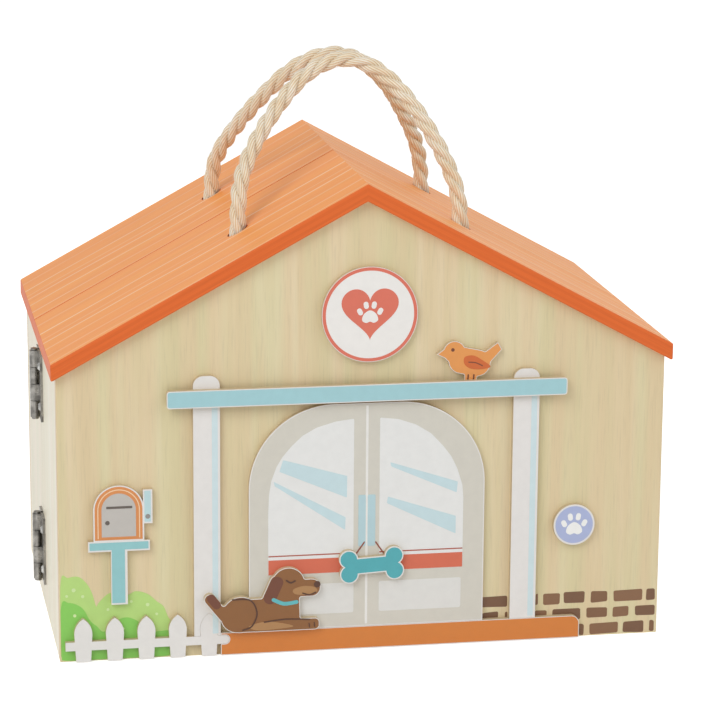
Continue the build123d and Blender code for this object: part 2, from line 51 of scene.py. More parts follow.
def makeCamera(look):
    turn, tilt, roll = (math.radians(look[key]) for key in ("azimuth", "elevation", "roll"))
    ahead = Vector((math.sin(turn) * math.cos(tilt), math.cos(turn) * math.cos(tilt), math.sin(tilt)))
    level = ahead.cross(Vector((0, 0, 1))).normalized()
    upright = level.cross(ahead)
    right = level * math.cos(roll) + upright * math.sin(roll)
    up = upright * math.cos(roll) - level * math.sin(roll)
    camera = bpy.data.objects.new("camera", bpy.data.cameras.new("camera"))
    bpy.context.scene.collection.objects.link(camera)
    camera.data.lens, camera.data.sensor_width = look["lens"], 36
    camera.data.shift_x, camera.data.shift_y = look["shift"]
    camera.data.clip_start, camera.data.clip_end = 0.05, 20
    turned = Matrix((right, up, -ahead)).transposed().to_4x4()
    camera.matrix_world = Matrix.Translation(look["place"]) @ turned
    bpy.context.scene.camera = camera


makeCamera(cameraLook)
print("camera set")


def linear(code):
    parts = [int(code[start:start + 2], 16) / 255 for start in (1, 3, 5)]
    return (*[part / 12.92 if part <= 0.04045 else ((part + 0.055) / 1.055) ** 2.4 for part in parts], 1.0)


def toned(code, change):
    return tuple(min(1.0, part * change) for part in linear(code)[:3]) + (1.0,)


def addNode(tree, kind, settings=(), inputs=(), stops=()):
    # A shader node with its settings, its values or links and its ramp's stops. It gives the node's outputs.
    # A noise's scale counts cells per metre: 240 is about 4 mm. Stretched mappings give a cell in metres.
    node = tree.nodes.new("ShaderNode" + kind)
    for key, value in dict(settings).items():
        setattr(node, key, value)
    for key, value in dict(inputs).items():
        if isinstance(value, bpy.types.NodeSocket):
            tree.links.new(value, node.inputs[key])
        else:
            node.inputs[key].default_value = value
    for number, (place, colour) in enumerate(stops):
        ramp = node.color_ramp.elements
        stop = ramp[0] if number == 0 else ramp[-1] if number == len(stops) - 1 else ramp.new(place)
        stop.position, stop.color = place, colour
    return node.outputs


stretched = {"vector_type": "TEXTURE"}
blend = {"data_type": "RGBA"}
multiply = {"data_type": "RGBA", "blend_type": "MULTIPLY"}


def newMaterial(name, settings):
    # A new material, what adds a node to it, and its shader.
    material = bpy.data.materials.new(name)
    material.use_nodes = True
    shader = material.node_tree.nodes["Principled BSDF"]
    for key, value in settings.items():
        shader.inputs[key].default_value = value
    return material, partial(addNode, material.node_tree), shader


def grey(level):
    return (level, level, level, 1.0)


def finishSurface(add, shader, colour, gloss, bump):
    # Every finish ends with its colour, a roughness that follows a pattern between two values, and relief
    # that follows a pattern by a strength and a depth.
    shine = add("MapRange", {}, {0: gloss[0], 3: gloss[1], 4: gloss[2]})
    relief = add("Bump", {}, {"Height": bump[0], "Strength": bump[1], "Distance": bump[2]})
    for socket, source in (("Base Color", colour), ("Roughness", shine[0]), ("Normal", relief[0])):
        shader.id_data.links.new(source, shader.inputs[socket])


def boardCoordinates(add, look):
    # Grain coordinates in the board's own direction, the depth through its plies, and its broad faces.
    place = add("TexCoord")
    folded = add("VectorMath", {"operation": "ABSOLUTE"}, {0: place["Object"]})
    grainFrom = folded[0] if look["fold"] else place["Object"]
    turn = (0, look["pitch"], 0)
    grain = add("Mapping", stretched, {"Vector": grainFrom, "Rotation": turn})
    layers = add("Mapping", stretched, {
        "Vector": folded[0], "Rotation": turn, "Location": look["start"], "Scale": (2 * look["ply"],) * 3})
    depth = add("SeparateXYZ", {}, {0: layers[0]})[look["axis"]]
    facing = add("VectorMath", {"operation": "ABSOLUTE"}, {0: place["Normal"]})
    along = add("VectorMath", {"operation": "DOT_PRODUCT"}, {0: facing[0], 1: look["face"]})
    face = add("Math", {"operation": "GREATER_THAN"}, {0: along["Value"], 1: 0.93})
    plies = add("Math", {"operation": "FRACT"}, {0: depth})
    return grain[0], plies[0], face[0]


roofPitch = math.radians(28.6)
plyFaces = {
    "gable": {"fold": False, "pitch": 0, "axis": 1, "face": (0, 1, 0), "start": (0, 0.089, 0), "ply": 0.0012,
              "streak": (0.0075, 0.0075, 0.2), "fibre": (0.0007, 0.0007, 0.016)},
    "side": {"fold": False, "pitch": 0, "axis": 0, "face": (1, 0, 0), "start": (0.144, 0, 0), "ply": 0.0012,
             "streak": (0.009, 0.009, 0.16), "fibre": (0.0007, 0.0007, 0.016)},
    "floor": {"fold": False, "pitch": 0, "axis": 2, "face": (0, 0, 1), "start": (0, 0, 0), "ply": 0.0012,
              "streak": (0.16, 0.009, 0.009), "fibre": (0.016, 0.0007, 0.0007)},
    "roof": {"fold": True, "pitch": roofPitch, "axis": 2, "start": (0, 0, 0.2248), "ply": 0.0015,
             "face": (math.sin(roofPitch), 0, math.cos(roofPitch)), "streak": (0.25, 0.011, 0.011),
             "fibre": (0.03, 0.0009, 0.0009), "board": 0.1, "lineHalf": 0.012,
             "lines": [(0.07, 0.45), (0.2, 1.0), (0.35, 0.6), (0.49, 1.0), (0.57, 0.5), (0.7, 0.95),
                       (0.88, 0.75)]},
}
birchFinish = {"fibres": 0.55, "pores": [(0.3, 0.93), (0.46, 1.0), (0.8, 1.02)], "plyDark": (0.52, 0.95),
               "relief": (0.5, 0.00008)}
roofFinish = {"fibres": 0.5, "pores": [(0.32, 0.94), (0.48, 1.0), (0.8, 1.02)], "plyDark": (0.54, 0.94),
              "relief": (0.6, 0.0001)}


def coverPly(add, shader, board, look, colours, finish, streaks, figure):
    # What both plywoods share: pores in the face veneer, bare edges striped by the plies, satin varnish.
    grain, plies, face = board
    fine = add("Mapping", stretched, {"Vector": grain, "Scale": look["fibre"]})
    fibres = add("TexNoise", {}, {
        "Vector": fine[0], "Scale": 1, "Detail": 3, "Roughness": finish["fibres"]})
    pores = add("ValToRGB", {}, {0: fibres[0]}, [(spot, grey(level)) for spot, level in finish["pores"]])
    veneer = add("Mix", multiply, {0: 1.0, 6: figure, 7: pores[0]})
    pale, dark = linear(colours["edgePale"]), linear(colours["edgeDark"])
    start, end = finish["plyDark"]
    edge = add("ValToRGB", {}, {0: plies}, [
        (0.0, pale), (0.46, pale), (start, dark), (end, dark), (1.0, pale)])
    edgeGrain = add("Mix", multiply, {0: 1.0, 6: edge[0], 7: pores[0]})
    shown = add("Mix", blend, {0: face, 6: edgeGrain[2], 7: veneer[2]})
    finishSurface(add, shader, shown[2], (streaks, *colours["shine"]), (fibres[0], *finish["relief"]))


def clearBirchPly(name, look, colours):
    # Birch plywood, sanded and clear varnished: soft streaks along the grain, fine pores, satin.
    material, add, shader = newMaterial(name, {"IOR": 1.5, "Coat Weight": 0.12, "Coat Roughness": 0.35})
    board = boardCoordinates(add, look)
    wide = add("Mapping", stretched, {"Vector": board[0], "Scale": look["streak"]})
    streaks = add("TexNoise", {}, {
        "Vector": wide[0], "Scale": 1, "Detail": 3, "Roughness": 0.5, "Distortion": 0.3})
    clouds = add("TexNoise", {}, {"Vector": wide[0], "Scale": 0.8, "Detail": 1})
    figure = add("ValToRGB", {}, {0: streaks[0]}, [
        (0.28, linear(colours["dark"])), (0.5, linear(colours["middle"])), (0.72, linear(colours["pale"]))])
    tinge = add("ValToRGB", {}, {0: clouds[0]}, [
        (0.38, linear(colours["warm"])), (0.62, linear(colours["green"]))])
    body = add("Mix", multiply, {0: 1.0, 6: figure[0], 7: tinge[0]})
    coverPly(add, shader, board, look, colours, birchFinish, streaks[0], body[2])
    return material


def stainedPly(name, look, colours):
    # Softwood-faced plywood, stained orange and satin varnished: the stain sits deep in soft wood, and the
    # late-wood lines run pale from ridge to eave. End grain drinks the stain and goes deep orange.
    material, add, shader = newMaterial(name, {"IOR": 1.45, "Specular IOR Level": 0.4})
    board = boardCoordinates(add, look)
    place = add("TexCoord")["Object"]
    parts = add("SeparateXYZ", {}, {0: place})
    hand = add("Math", {"operation": "SIGN"}, {0: parts[0]})
    drift = add("TexNoise", {}, {"Vector": place, "Scale": 9, "Detail": 1})
    wander = add("Math", {"operation": "MULTIPLY_ADD"}, {0: hand[0], 1: 0.17, 2: drift[0]})
    softly = add("Math", {"operation": "MULTIPLY"}, {0: wander[0], 1: 0.12})
    across = add("Math", {"operation": "MULTIPLY_ADD"}, {0: parts[1], 1: 1 / look["board"], 2: softly[0]})
    within = add("Math", {"operation": "FRACT"}, {0: across[0]})
    thin = add("ValToRGB", {}, {0: within[0]}, [
        (spot + shift * look["lineHalf"], grey(level if shift == 0 else 0))
        for spot, level in look["lines"] for shift in (-1, 0, 1)])
    wide = add("Mapping", stretched, {"Vector": board[0], "Scale": look["streak"]})
    streaks = add("TexNoise", {"noise_dimensions": "4D"}, {
        "Vector": wide[0], "W": hand[0], "Scale": 1, "Detail": 5, "Roughness": 0.6})
    wavering = add("MapRange", {}, {0: streaks[0], 1: 0.32, 2: 0.6, 3: 0.25, 4: 1.0})
    fading = add("Math", {"operation": "MULTIPLY", "use_clamp": True}, {0: thin[0], 1: wavering[0]})
    stain = add("ValToRGB", {}, {0: streaks[0]}, [
        (0.3, linear(colours["deep"])), (0.5, linear(colours["middle"])), (0.7, linear(colours["light"]))])
    lined = add("Mix", blend, {0: fading[0], 6: stain[0], 7: linear(colours["line"])})
    coverPly(add, shader, board, look, colours, roofFinish, streaks[0], lined[2])
    return material


def printedBoard(name, code, edgeCode=None):
    # Flat ink print on thin whitewood board under matt varnish: even colour with a slight mottle of the ink
    # and a little of the board's tooth; a sawn board's edge is bare and a bit darker.
    material, add, shader = newMaterial(name, {"IOR": 1.5})
    place = add("TexCoord")
    mottle = add("TexNoise", {}, {"Vector": place["Object"], "Scale": 240, "Detail": 4})
    tooth = add("TexNoise", {}, {"Vector": place["Object"], "Scale": 1500, "Detail": 2})
    shown = add("ValToRGB", {}, {0: mottle[0]}, [(0.3, toned(code, 0.98)), (0.7, toned(code, 1.02))])[0]
    if edgeCode:
        facing = add("SeparateXYZ", {}, {0: place["Normal"]})
        front = add("Math", {"operation": "LESS_THAN"}, {0: facing[1], 1: -0.5})
        bands = add("Mapping", stretched, {"Vector": place["Object"], "Scale": (0.004, 0.0006, 0.004)})
        sawn = add("TexNoise", {}, {"Vector": bands[0], "Scale": 1, "Detail": 3})
        bare = add("ValToRGB", {}, {0: sawn[0]}, [
            (0.35, toned(edgeCode, 0.82)), (0.65, toned(edgeCode, 1.05))])
        shown = add("Mix", blend, {0: front[0], 6: bare[0], 7: shown})[2]
    finishSurface(add, shader, shown, (mottle[0], 0.4, 0.54), (tooth[0], 0.35, 0.00005))
    return material


def lacquer(name, code, wearCode):
    # Beech turned, primed and dipped in toy lacquer: glossy, slightly wavy, rubbed thin in small spots.
    material, add, shader = newMaterial(name, {"IOR": 1.5, "Coat Weight": 0.3, "Coat Roughness": 0.15})
    place = add("TexCoord")["Object"]
    waves = add("TexNoise", {}, {"Vector": place, "Scale": 260, "Detail": 3})
    rubs = add("TexNoise", {}, {"Vector": place, "Scale": 90, "Detail": 6, "Roughness": 0.7})
    tone = add("ValToRGB", {}, {0: waves[0]}, [(0.3, toned(code, 0.94)), (0.7, toned(code, 1.05))])
    worn = add("ValToRGB", {}, {0: rubs[0]}, [(0.72, grey(0)), (0.76, grey(0.7))])
    shown = add("Mix", blend, {0: worn[0], 6: tone[0], 7: linear(wearCode)})
    finishSurface(add, shader, shown[2], (rubs[0], 0.24, 0.42), (waves[0], 0.3, 0.0001))
    return material


def oiledBeech(name, code, fleckCode):
    # Solid beech, sanded and oiled: close grain with short dark flecks about 0.4 x 3 mm, low sheen.
    material, add, shader = newMaterial(name, {"IOR": 1.48})
    place = add("TexCoord")["Object"]
    close = add("Mapping", stretched, {"Vector": place, "Scale": (0.0009, 0.0009, 0.007)})
    flecks = add("TexNoise", {}, {"Vector": close[0], "Scale": 1, "Detail": 4})
    broad = add("Mapping", stretched, {"Vector": place, "Scale": (0.006, 0.006, 0.08)})
    rings = add("TexNoise", {}, {"Vector": broad[0], "Scale": 1, "Detail": 3})
    tone = add("ValToRGB", {}, {0: rings[0]}, [(0.3, toned(code, 0.88)), (0.7, toned(code, 1.06))])
    marks = add("ValToRGB", {}, {0: flecks[0]}, [(0.6, grey(0)), (0.72, grey(0.7))])
    shown = add("Mix", blend, {0: marks[0], 6: tone[0], 7: linear(fleckCode)})
    finishSurface(add, shader, shown[2], (flecks[0], 0.42, 0.6), (flecks[0], 0.4, 0.00008))
    return material


def nickelPlate(name, code, roughness):
    # Stamped steel with dull nickel plate: soft reflections, faint rolling lines, small dark specks, and
    # soft patches a few millimetres wide, partly tarnish and partly painted reflection, darker and brighter.
    material, add, shader = newMaterial(name, {"Metallic": 1.0})
    place = add("TexCoord")["Object"]
    rolled = add("Mapping", stretched, {"Vector": place, "Scale": (0.0003, 0.0003, 0.012)})
    lines = add("TexNoise", {}, {"Vector": rolled[0], "Scale": 1, "Detail": 1})
    patches = add("TexNoise", {}, {"Vector": place, "Scale": 230, "Detail": 1})
    specks = add("TexNoise", {}, {"Vector": place, "Scale": 700, "Detail": 4})
    plate = add("ValToRGB", {}, {0: specks[0]}, [
        (0.28, toned(code, 0.6)), (0.4, toned(code, 1.0)), (0.8, toned(code, 1.06))])
    drawn = add("ValToRGB", {}, {0: lines[0]}, [(0.38, grey(0.84)), (0.5, grey(0.97)), (0.62, grey(1.06))])
    # Patches partly tarnish, partly painted reflection: darker and brighter than the plate, up to 1.12
    # times.
    tarnishAndReflection = add("ValToRGB", {}, {0: patches[0]}, [
        (0.36, grey(0.58)), (0.5, grey(0.86)), (0.64, grey(1.12))])
    lined = add("Mix", multiply, {0: 1.0, 6: plate[0], 7: drawn[0]})
    tone = add("Mix", multiply, {0: 1.0, 6: lined[2], 7: tarnishAndReflection[0]})
    finishSurface(add, shader, tone[2], (patches[0], roughness + 0.12, roughness - 0.08),
                  (lines[0], 0.25, 0.00003))
    return material


def twistedCotton(name, colours, look):
    # Natural cotton yarn, twisted: matt and slightly fuzzy, its colour darkened to a warm tone in the
    # grooves between the yarns as painted shade.
    # Real yarn fibres are about 0.02 mm and can't show, so they are drawn 0.25 mm wide.
    material, add, shader = newMaterial(name, {"Roughness": 0.92, "IOR": 1.5, "Sheen Weight": 0.25,
                                                "Sheen Roughness": 0.5})
    place = add("TexCoord")
    drawn = add("Mapping", stretched, {
        "Vector": place["UV"], "Rotation": (0, 0, -0.35), "Scale": (0.022, 0.35, 1)})
    fibres = add("TexNoise", {}, {"Vector": drawn[0], "Scale": 1, "Detail": 4, "Roughness": 0.65})
    patches = add("TexNoise", {}, {"Vector": place["Object"], "Scale": 120, "Detail": 3})
    tone = add("ValToRGB", {}, {0: patches[0]}, [
        (0.3, linear(colours["warm"])), (0.5, linear(colours["middle"])), (0.72, linear(colours["pale"]))])
    shade = add("ValToRGB", {}, {0: fibres[0]}, [(0.3, grey(0.74)), (0.5, grey(0.97)), (0.75, grey(1.06))])
    shown = add("Mix", multiply, {0: 1.0, 6: tone[0], 7: shade[0]})
    turns = add("SeparateXYZ", {}, {0: place["UV"]})
    around = add("Math", {"operation": "MULTIPLY"}, {0: turns[0], 1: look["yarns"]})
    yarns = add("Math", {"operation": "MULTIPLY_ADD"}, {
        0: turns[1], 1: -look["yarns"] * look["uvLength"] / look["yarnLay"], 2: around[0]})
    yarn = add("Math", {"operation": "FRACT"}, {0: yarns[0]})
    # Painted shade: the colour darkens to a warm tone in each groove between the yarns, where shade falls.
    paintedGrooveShade = add("ValToRGB", {}, {0: yarn[0]}, [
        (0.2, grey(1.0)), (0.5, linear(colours["paintedGrooveShade"])), (0.8, grey(1.0))])
    shadedInGrooves = add("Mix", multiply, {0: 1.0, 6: shown[2], 7: paintedGrooveShade[0]})
    relief = add("Bump", {}, {"Strength": 0.9, "Distance": 0.0003, "Height": fibres[0]})
    material.node_tree.links.new(shadedInGrooves[2], shader.inputs["Base Color"])
    material.node_tree.links.new(relief[0], shader.inputs["Normal"])
    return material


# The rope's build, shared by its mesh and its yarn pattern: millimetres, and a lay is one whole turn.
ropeLook = {
    "diameter": 8.5, "strandRadius": 2.16, "strandOffset": 2.1, "lay": -31.0,
    "yarns": 9, "yarnDepth": 0.1, "yarnLay": 34.0, "uvLength": 13, "ringStep": 0.75, "sides": 28,
    "strays": 420, "strayRadius": 0.055, "strayLength": (1.8, 3.6), "strayLift": (0.15, 0.75),
    "strayRoot": 0.3, "bareEnds": 24,
}
# The rope's groove colour is painted shade between the yarns.
cottonRope = twistedCotton("cotton rope", {
    "warm": "#f2e2c6", "middle": "#f8eed8", "pale": "#fbf6ea", "paintedGrooveShade": "#e2c296"}, ropeLook)
frontPly = clearBirchPly("varnished birch ply front", plyFaces["gable"], {
    "dark": "#d7c8a4", "middle": "#dbcdaa", "pale": "#e0d4b5", "warm": "#fff8f1", "green": "#fafcf1",
    "edgePale": "#dcc79c", "edgeDark": "#b28f5f", "shine": (0.4, 0.55)})
sidePly = clearBirchPly("varnished birch ply side", plyFaces["side"], {
    "dark": "#e2dac6", "middle": "#e9e3d3", "pale": "#efeadf", "warm": "#fffaf4", "green": "#fafaf2",
    "edgePale": "#e0cfa9", "edgeDark": "#b6946a", "shine": (0.4, 0.55)})
floorPly = clearBirchPly("varnished birch ply floor", plyFaces["floor"], {
    "dark": "#d2bd94", "middle": "#dccaa5", "pale": "#e5d8b9", "warm": "#fff6ee", "green": "#fbf9ec",
    "edgePale": "#dcc79c", "edgeDark": "#b28f5f", "shine": (0.45, 0.6)})
roofPly = stainedPly("orange stained ply", plyFaces["roof"], {
    "deep": "#f79a4c", "middle": "#faa354", "light": "#fcaa5d", "line": "#ffedcf",
    "edgePale": "#dd6828", "edgeDark": "#d86426", "shine": (0.44, 0.58)})
hingeSteel = nickelPlate("dull nickel plated hinge", "#918e89", 0.28)
screwSteel = nickelPlate("zinc plated screw", "#c6c5c1", 0.3)
magnetNickel = nickelPlate("bright nickel plated magnet", "#cfcecb", 0.16)
whiteLacquer = lacquer("white lacquered beech", "#efece4", "#d9c39c")
blueLacquer = lacquer("pale blue lacquered beech", "#9fcbd2", "#d9c39c")
orangeLacquer = lacquer("orange lacquered beech", "#e3784a", "#d9b58a")
combBeech = oiledBeech("oiled beech", "#dcb985", "#a9783f")
whiteBoard = printedBoard("white printed board", "#e2dfdc", "#c9b694")
print("materials made")


def placePiece(name, bm, material, body, smooth=None):
    mesh = bpy.data.meshes.new(name)
    bmesh.ops.recalc_face_normals(bm, faces=bm.faces)
    bm.to_mesh(mesh)
    bm.free()
    if smooth:
        mesh.shade_smooth()
        mesh.set_sharp_from_angle(angle=math.radians(smooth))
    piece = bpy.data.objects.new(name, mesh)
    bpy.context.scene.collection.objects.link(piece)
    mesh.materials.append(material)
    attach(piece, body)
    return piece


# Rope handles: three strands laid round the handle's own line, each strand ribbed by its yarns.
ropeRoutes = {
    "front": [(-56, -50, 191.46), (-56, -50, 211), (-53.5, -41.5, 227.5), (-43, -28, 245.5),
              (-29, -18, 262.5), (-14.5, -12, 276), (3, -10.5, 282.5), (19, -14, 277.5), (32, -21.5, 265),
              (43.5, -32, 247.5), (53, -42.5, 227), (56, -50, 211), (56, -50, 191.46)],
    "rear": [(-56, 50, 191.46), (-56, 50, 211), (-54, 41.5, 226), (-45, 29, 243), (-32.5, 19, 260),
             (-18, 12.5, 275), (0, 10.5, 282), (16.5, 14, 277.5), (30.5, 22, 265), (42, 33, 248),
             (52, 44, 229), (56, 50, 211), (56, 50, 191.46)],
}


def splinePoints(points):
    curve = bpy.data.curves.new("route", "CURVE")
    curve.dimensions, curve.resolution_u = "3D", 40
    spline = curve.splines.new("NURBS")
    spline.points.add(len(points) - 1)
    for point, place in zip(spline.points, points):
        point.co = (place[0] * mm, place[1] * mm, place[2] * mm, 1)
    spline.order_u, spline.use_endpoint_u = 3, True
    holder = bpy.data.objects.new("route", curve)
    bpy.context.scene.collection.objects.link(holder)
    bpy.context.view_layer.update()
    line = bpy.data.meshes.new_from_object(holder)
    found = [vertex.co.copy() for vertex in line.vertices]
    bpy.data.objects.remove(holder)
    bpy.data.meshes.remove(line)
    return found


def evenSteps(points, step):
    runs = [0.0]
    for before, after in zip(points, points[1:]):
        runs.append(runs[-1] + (after - before).length)
    count = max(4, round(runs[-1] / step))
    even, at = [], 0
    for number in range(count + 1):
        goal = runs[-1] * number / count
        while at < len(runs) - 2 and runs[at + 1] < goal:
            at += 1
        share = (goal - runs[at]) / max(1e-12, runs[at + 1] - runs[at])
        even.append(points[at].lerp(points[at + 1], min(1.0, share)))
    return even, runs[-1]


def frames(points):
    found, side = [], None
    for number, point in enumerate(points):
        ahead = (points[min(number + 1, len(points) - 1)] - points[max(number - 1, 0)]).normalized()
        if side is None:
            side = ahead.cross(Vector((0.3, 1, 0.2))).normalized()
        side = (side - ahead * side.dot(ahead)).normalized()
        found.append((point, side, ahead.cross(side)))
    return found


def strand(bm, points, radius, look):
    # A closed tube along the points, its wall ribbed by the strand's yarns, with a UV of turn and length.
    uv = bm.loops.layers.uv.verify()
    sides = look["sides"]
    rings, run, before = [], 0.0, points[0]
    for point, side, over in frames(points):
        run += (point - before).length
        before = point
        ring = []
        for number in range(sides):
            angle = 2 * math.pi * number / sides
            rib = math.cos(look["yarns"] * (angle - 2 * math.pi * run / (look["yarnLay"] * mm)))
            reach = radius * (1 - look["yarnDepth"] * (1 - rib))
            ring.append(bm.verts.new(point + (side * math.cos(angle) + over * math.sin(angle)) * reach))
        rings.append((ring, run))
    for (ring, start), (nextRing, end) in zip(rings, rings[1:]):
        for number in range(sides):
            follow = (number + 1) % sides
            face = bm.faces.new((ring[number], ring[follow], nextRing[follow], nextRing[number]))
            left, right = number / sides, (number + 1) / sides
            marks = ((left, start), (right, start), (right, end), (left, end))
            for loop, (turn, reached) in zip(face.loops, marks):
                loop[uv].uv = (turn, reached / (look["uvLength"] * mm))
    bm.faces.new(rings[0][0][::-1])
    bm.faces.new(rings[-1][0])


def laidStrands(bm, points, look, squeeze=1.0):
    even, length = evenSteps(points, look["ringStep"] * mm)
    around = frames(even)
    for number in range(3):
        line = []
        for step, (point, side, over) in enumerate(around):
            angle = 2 * math.pi * (step / (len(around) - 1) * length / (look["lay"] * mm) + number / 3)
            line.append(point + (side * math.cos(angle) + over * math.sin(angle))
                        * look["strandOffset"] * squeeze * mm)
        strand(bm, line, look["strandRadius"] * squeeze * mm, look)
    return even, length


def strayFibres(bm, points, look):
    # Short broken fibres that stand off the rope's surface; real ones are thinner, too thin to show.
    around = frames(points)
    root = look["strayRoot"]
    for _ in range(look["strays"]):
        point, side, over = around[dice.randrange(4, len(around) - 4)]
        angle, lean = dice.uniform(0, 2 * math.pi), dice.uniform(-0.5, 0.5)
        out = side * math.cos(angle) + over * math.sin(angle)
        along = (side.cross(over) + side.cross(over).cross(out) * lean).normalized() * dice.choice((-1, 1))
        size, lift = dice.uniform(*look["strayLength"]), dice.uniform(*look["strayLift"])
        start = point + out * (look["strandOffset"] + look["strandRadius"] - root) * mm
        spots = [start + (along * size * share + out * (lift + root) * share ** 1.6) * mm
                 for share in (0, 0.35, 0.7, 1)]
        beside = along.cross(out)
        rings = [[bm.verts.new(spot + (out * math.cos(turn) + beside * math.sin(turn))
                               * look["strayRadius"] * (1 - 0.2 * number) * mm)
                  for turn in (0, 2.1, 4.2)] for number, spot in enumerate(spots)]
        for ring, after in zip(rings, rings[1:]):
            for n in range(3):
                bm.faces.new((ring[n], ring[(n + 1) % 3], after[(n + 1) % 3], after[n]))
        bm.faces.new(rings[0])
        bm.faces.new(rings[-1])


# An overhand knot under the roof: the rope winds down round its own core and tucks back in.
knotLook = {
    "steps": 72, "turns": 2.15, "tuck": 0.14, "inner": 1.6, "swell": 4.2, "below": 3.1, "fall": 9.7,
    "squeeze": 0.68, "core": (0.05, 5, 10, 16, 19, 21.9), "coreSqueeze": 0.97,
}


def knotLine(x, y, top, look):
    line = []
    for step in range(look["steps"] + 1):
        share = step / look["steps"]
        angle = 2 * math.pi * look["turns"] * share
        inward = min(1.0, share / look["tuck"], (1 - share) / look["tuck"])
        reach = look["inner"] + look["swell"] * inward
        line.append(Vector((x + reach * math.cos(angle), y + reach * math.sin(angle),
                            top - look["below"] - look["fall"] * share)) * mm)
    return line


for half in ("front", "rear"):
    route = ropeRoutes[half]
    bm = bmesh.new()
    even, length = laidStrands(bm, splinePoints(route), ropeLook)
    bare = int(ropeLook["bareEnds"] / ropeLook["ringStep"])
    strayFibres(bm, even[bare:-bare], ropeLook)
    rope = placePiece(half + "_rope_handle", bm, cottonRope, half + "_half", smooth=60)
    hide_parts(half + "_rope")
    bm = bmesh.new()
    for x, y, top in (route[0], route[-1]):
        laidStrands(bm, knotLine(x, y, top, knotLook), ropeLook, squeeze=knotLook["squeeze"])
        core = [Vector((x, y, top - drop)) * mm for drop in knotLook["core"]]
        laidStrands(bm, core, ropeLook, squeeze=knotLook["coreSqueeze"])
    knots = placePiece(half + "_rope_end_knots", bm, cottonRope, half + "_half", smooth=60)
    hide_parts(half + "_rope_knots")
print("ropes laid")


def dress(material, *names):
    for name in names:
        for holder in nodes[name].material_slots:
            holder.material = material


for half in ("front", "rear"):
    dress(frontPly, half + "_gable_wall")
    dress(sidePly, half + "_left_wall", half + "_right_wall")
    dress(floorPly, half + "_floor")
    dress(roofPly, half + "_left_roof", half + "_right_roof")
    dress(hingeSteel, half + "_hinge_leaves")
    dress(screwSteel, half + "_hinge_screws")
    dress(magnetNickel, half + "_magnets")
dress(hingeSteel, "hinge_pins")
dress(floorPly, "tool_rack")
dress(whiteLacquer, "thermometer", "medicine_bottle")
dress(blueLacquer, "syringe_barrel")
dress(orangeLacquer, "syringe_plunger", "otoscope_head", "bottle_cap")
dress(combBeech, "comb", "otoscope_handle")
dress(whiteBoard, "left_post", "right_post", "beam", "step", "door", "fence", "mailbox", "round_sign",
      "paw_sign", "bone_sign", "dog", "bird")
print("boards dressed")


# Printed artwork. Every outline is in millimetres on the front wall, x to the right and z up.
def disc(x, z, radius, count=64):
    return [(x + radius * math.cos(2 * math.pi * n / count), z + radius * math.sin(2 * math.pi * n / count))
            for n in range(count)]


def capsule(x, z, length, width, tilt=0.0, count=48):
    turn, straight, radius = math.radians(tilt), (length - width) / 2, width / 2
    found = []
    for n in range(count):
        angle = 2 * math.pi * n / count
        px = radius * math.cos(angle) + (straight if math.cos(angle) >= 0 else -straight)
        pz = radius * math.sin(angle)
        found.append((x + px * math.cos(turn) - pz * math.sin(turn),
                      z + px * math.sin(turn) + pz * math.cos(turn)))
    return found


def rounded(points, corner, steps=6):
    found = []
    for number, (x, z) in enumerate(points):
        here = Vector((x, z))
        before, after = Vector(points[number - 1]), Vector(points[(number + 1) % len(points)])
        size = min(corner, (before - here).length / 2.05, (after - here).length / 2.05)
        first = here + (before - here).normalized() * size
        last = here + (after - here).normalized() * size
        for step in range(steps + 1):
            t = step / steps
            spot = first * (1 - t) ** 2 + here * 2 * t * (1 - t) + last * t ** 2
            found.append((spot.x, spot.y))
    return found


def block(left, bottom, right, top, corner=0.6):
    return rounded([(left, bottom), (right, bottom), (right, top), (left, top)], corner)


def smoothLine(points, closed=False, steps=8):
    spots = [Vector(point) for point in points]
    ends = range(len(spots)) if closed else range(len(spots) - 1)
    found = []
    for n in ends:
        if closed:
            a, b, c, d = (spots[(n + shift) % len(spots)] for shift in (-1, 0, 1, 2))
        else:
            a, b, c, d = (spots[min(max(n + shift, 0), len(spots) - 1)] for shift in (-1, 0, 1, 2))
        for step in range(steps):
            t = step / steps
            spot = 0.5 * (2 * b + (c - a) * t + (2 * a - 5 * b + 4 * c - d) * t * t
                          + (3 * b - a - 3 * c + d) * t ** 3)
            found.append((spot.x, spot.y))
    return found if closed else found + [tuple(spots[-1])]


def stroke(points, width, taper=0.0):
    line = [Vector(point) for point in (smoothLine(points) if len(points) > 2 else points)]
    left, right = [], []
    for number, spot in enumerate(line):
        ahead = (line[min(number + 1, len(line) - 1)] - line[max(number - 1, 0)]).normalized()
        share = number / (len(line) - 1)
        half = width / 2 * (1 - taper * share)
        left.append(spot + Vector((-ahead.y, ahead.x)) * half)
        right.append(spot - Vector((-ahead.y, ahead.x)) * half)
    caps = []
    for spot, side in ((line[-1], left[-1]), (line[0], right[0])):
        arm = side - spot
        caps.append([(spot.x + arm.x * math.cos(a) + arm.y * math.sin(a),
                      spot.y - arm.x * math.sin(a) + arm.y * math.cos(a))
                     for a in (math.pi * n / 8 for n in range(1, 8))])
    return [tuple(p) for p in left] + caps[0] + [tuple(p) for p in reversed(right)] + caps[1]


def cadFront(name, inset):
    # The outline of a CAD cut-out's own front face, drawn in by the white margin of its print.
    bm = bmesh.new()
    bm.from_mesh(nodes[name].data)
    bmesh.ops.remove_doubles(bm, verts=bm.verts, dist=2e-6)
    front = min(vertex.co.y for vertex in bm.verts)
    chosen = {face for face in bm.faces
              if face.normal.y < -0.99 and abs(face.calc_center_median().y - front) < 5e-5}
    following = {}
    for face in chosen:
        for loop in face.loops:
            if sum(other in chosen for other in loop.edge.link_faces) == 1:
                following[loop.vert] = loop.link_loop_next.vert
    outlines = []
    while following:
        start = vertex = next(iter(following))
        outline = []
        while vertex in following:
            outline.append((vertex.co.x / mm, vertex.co.z / mm))
            vertex = following.pop(vertex)
        outlines.append(outline)
    bm.free()
    return [drawnIn(outline, inset) for outline in outlines]


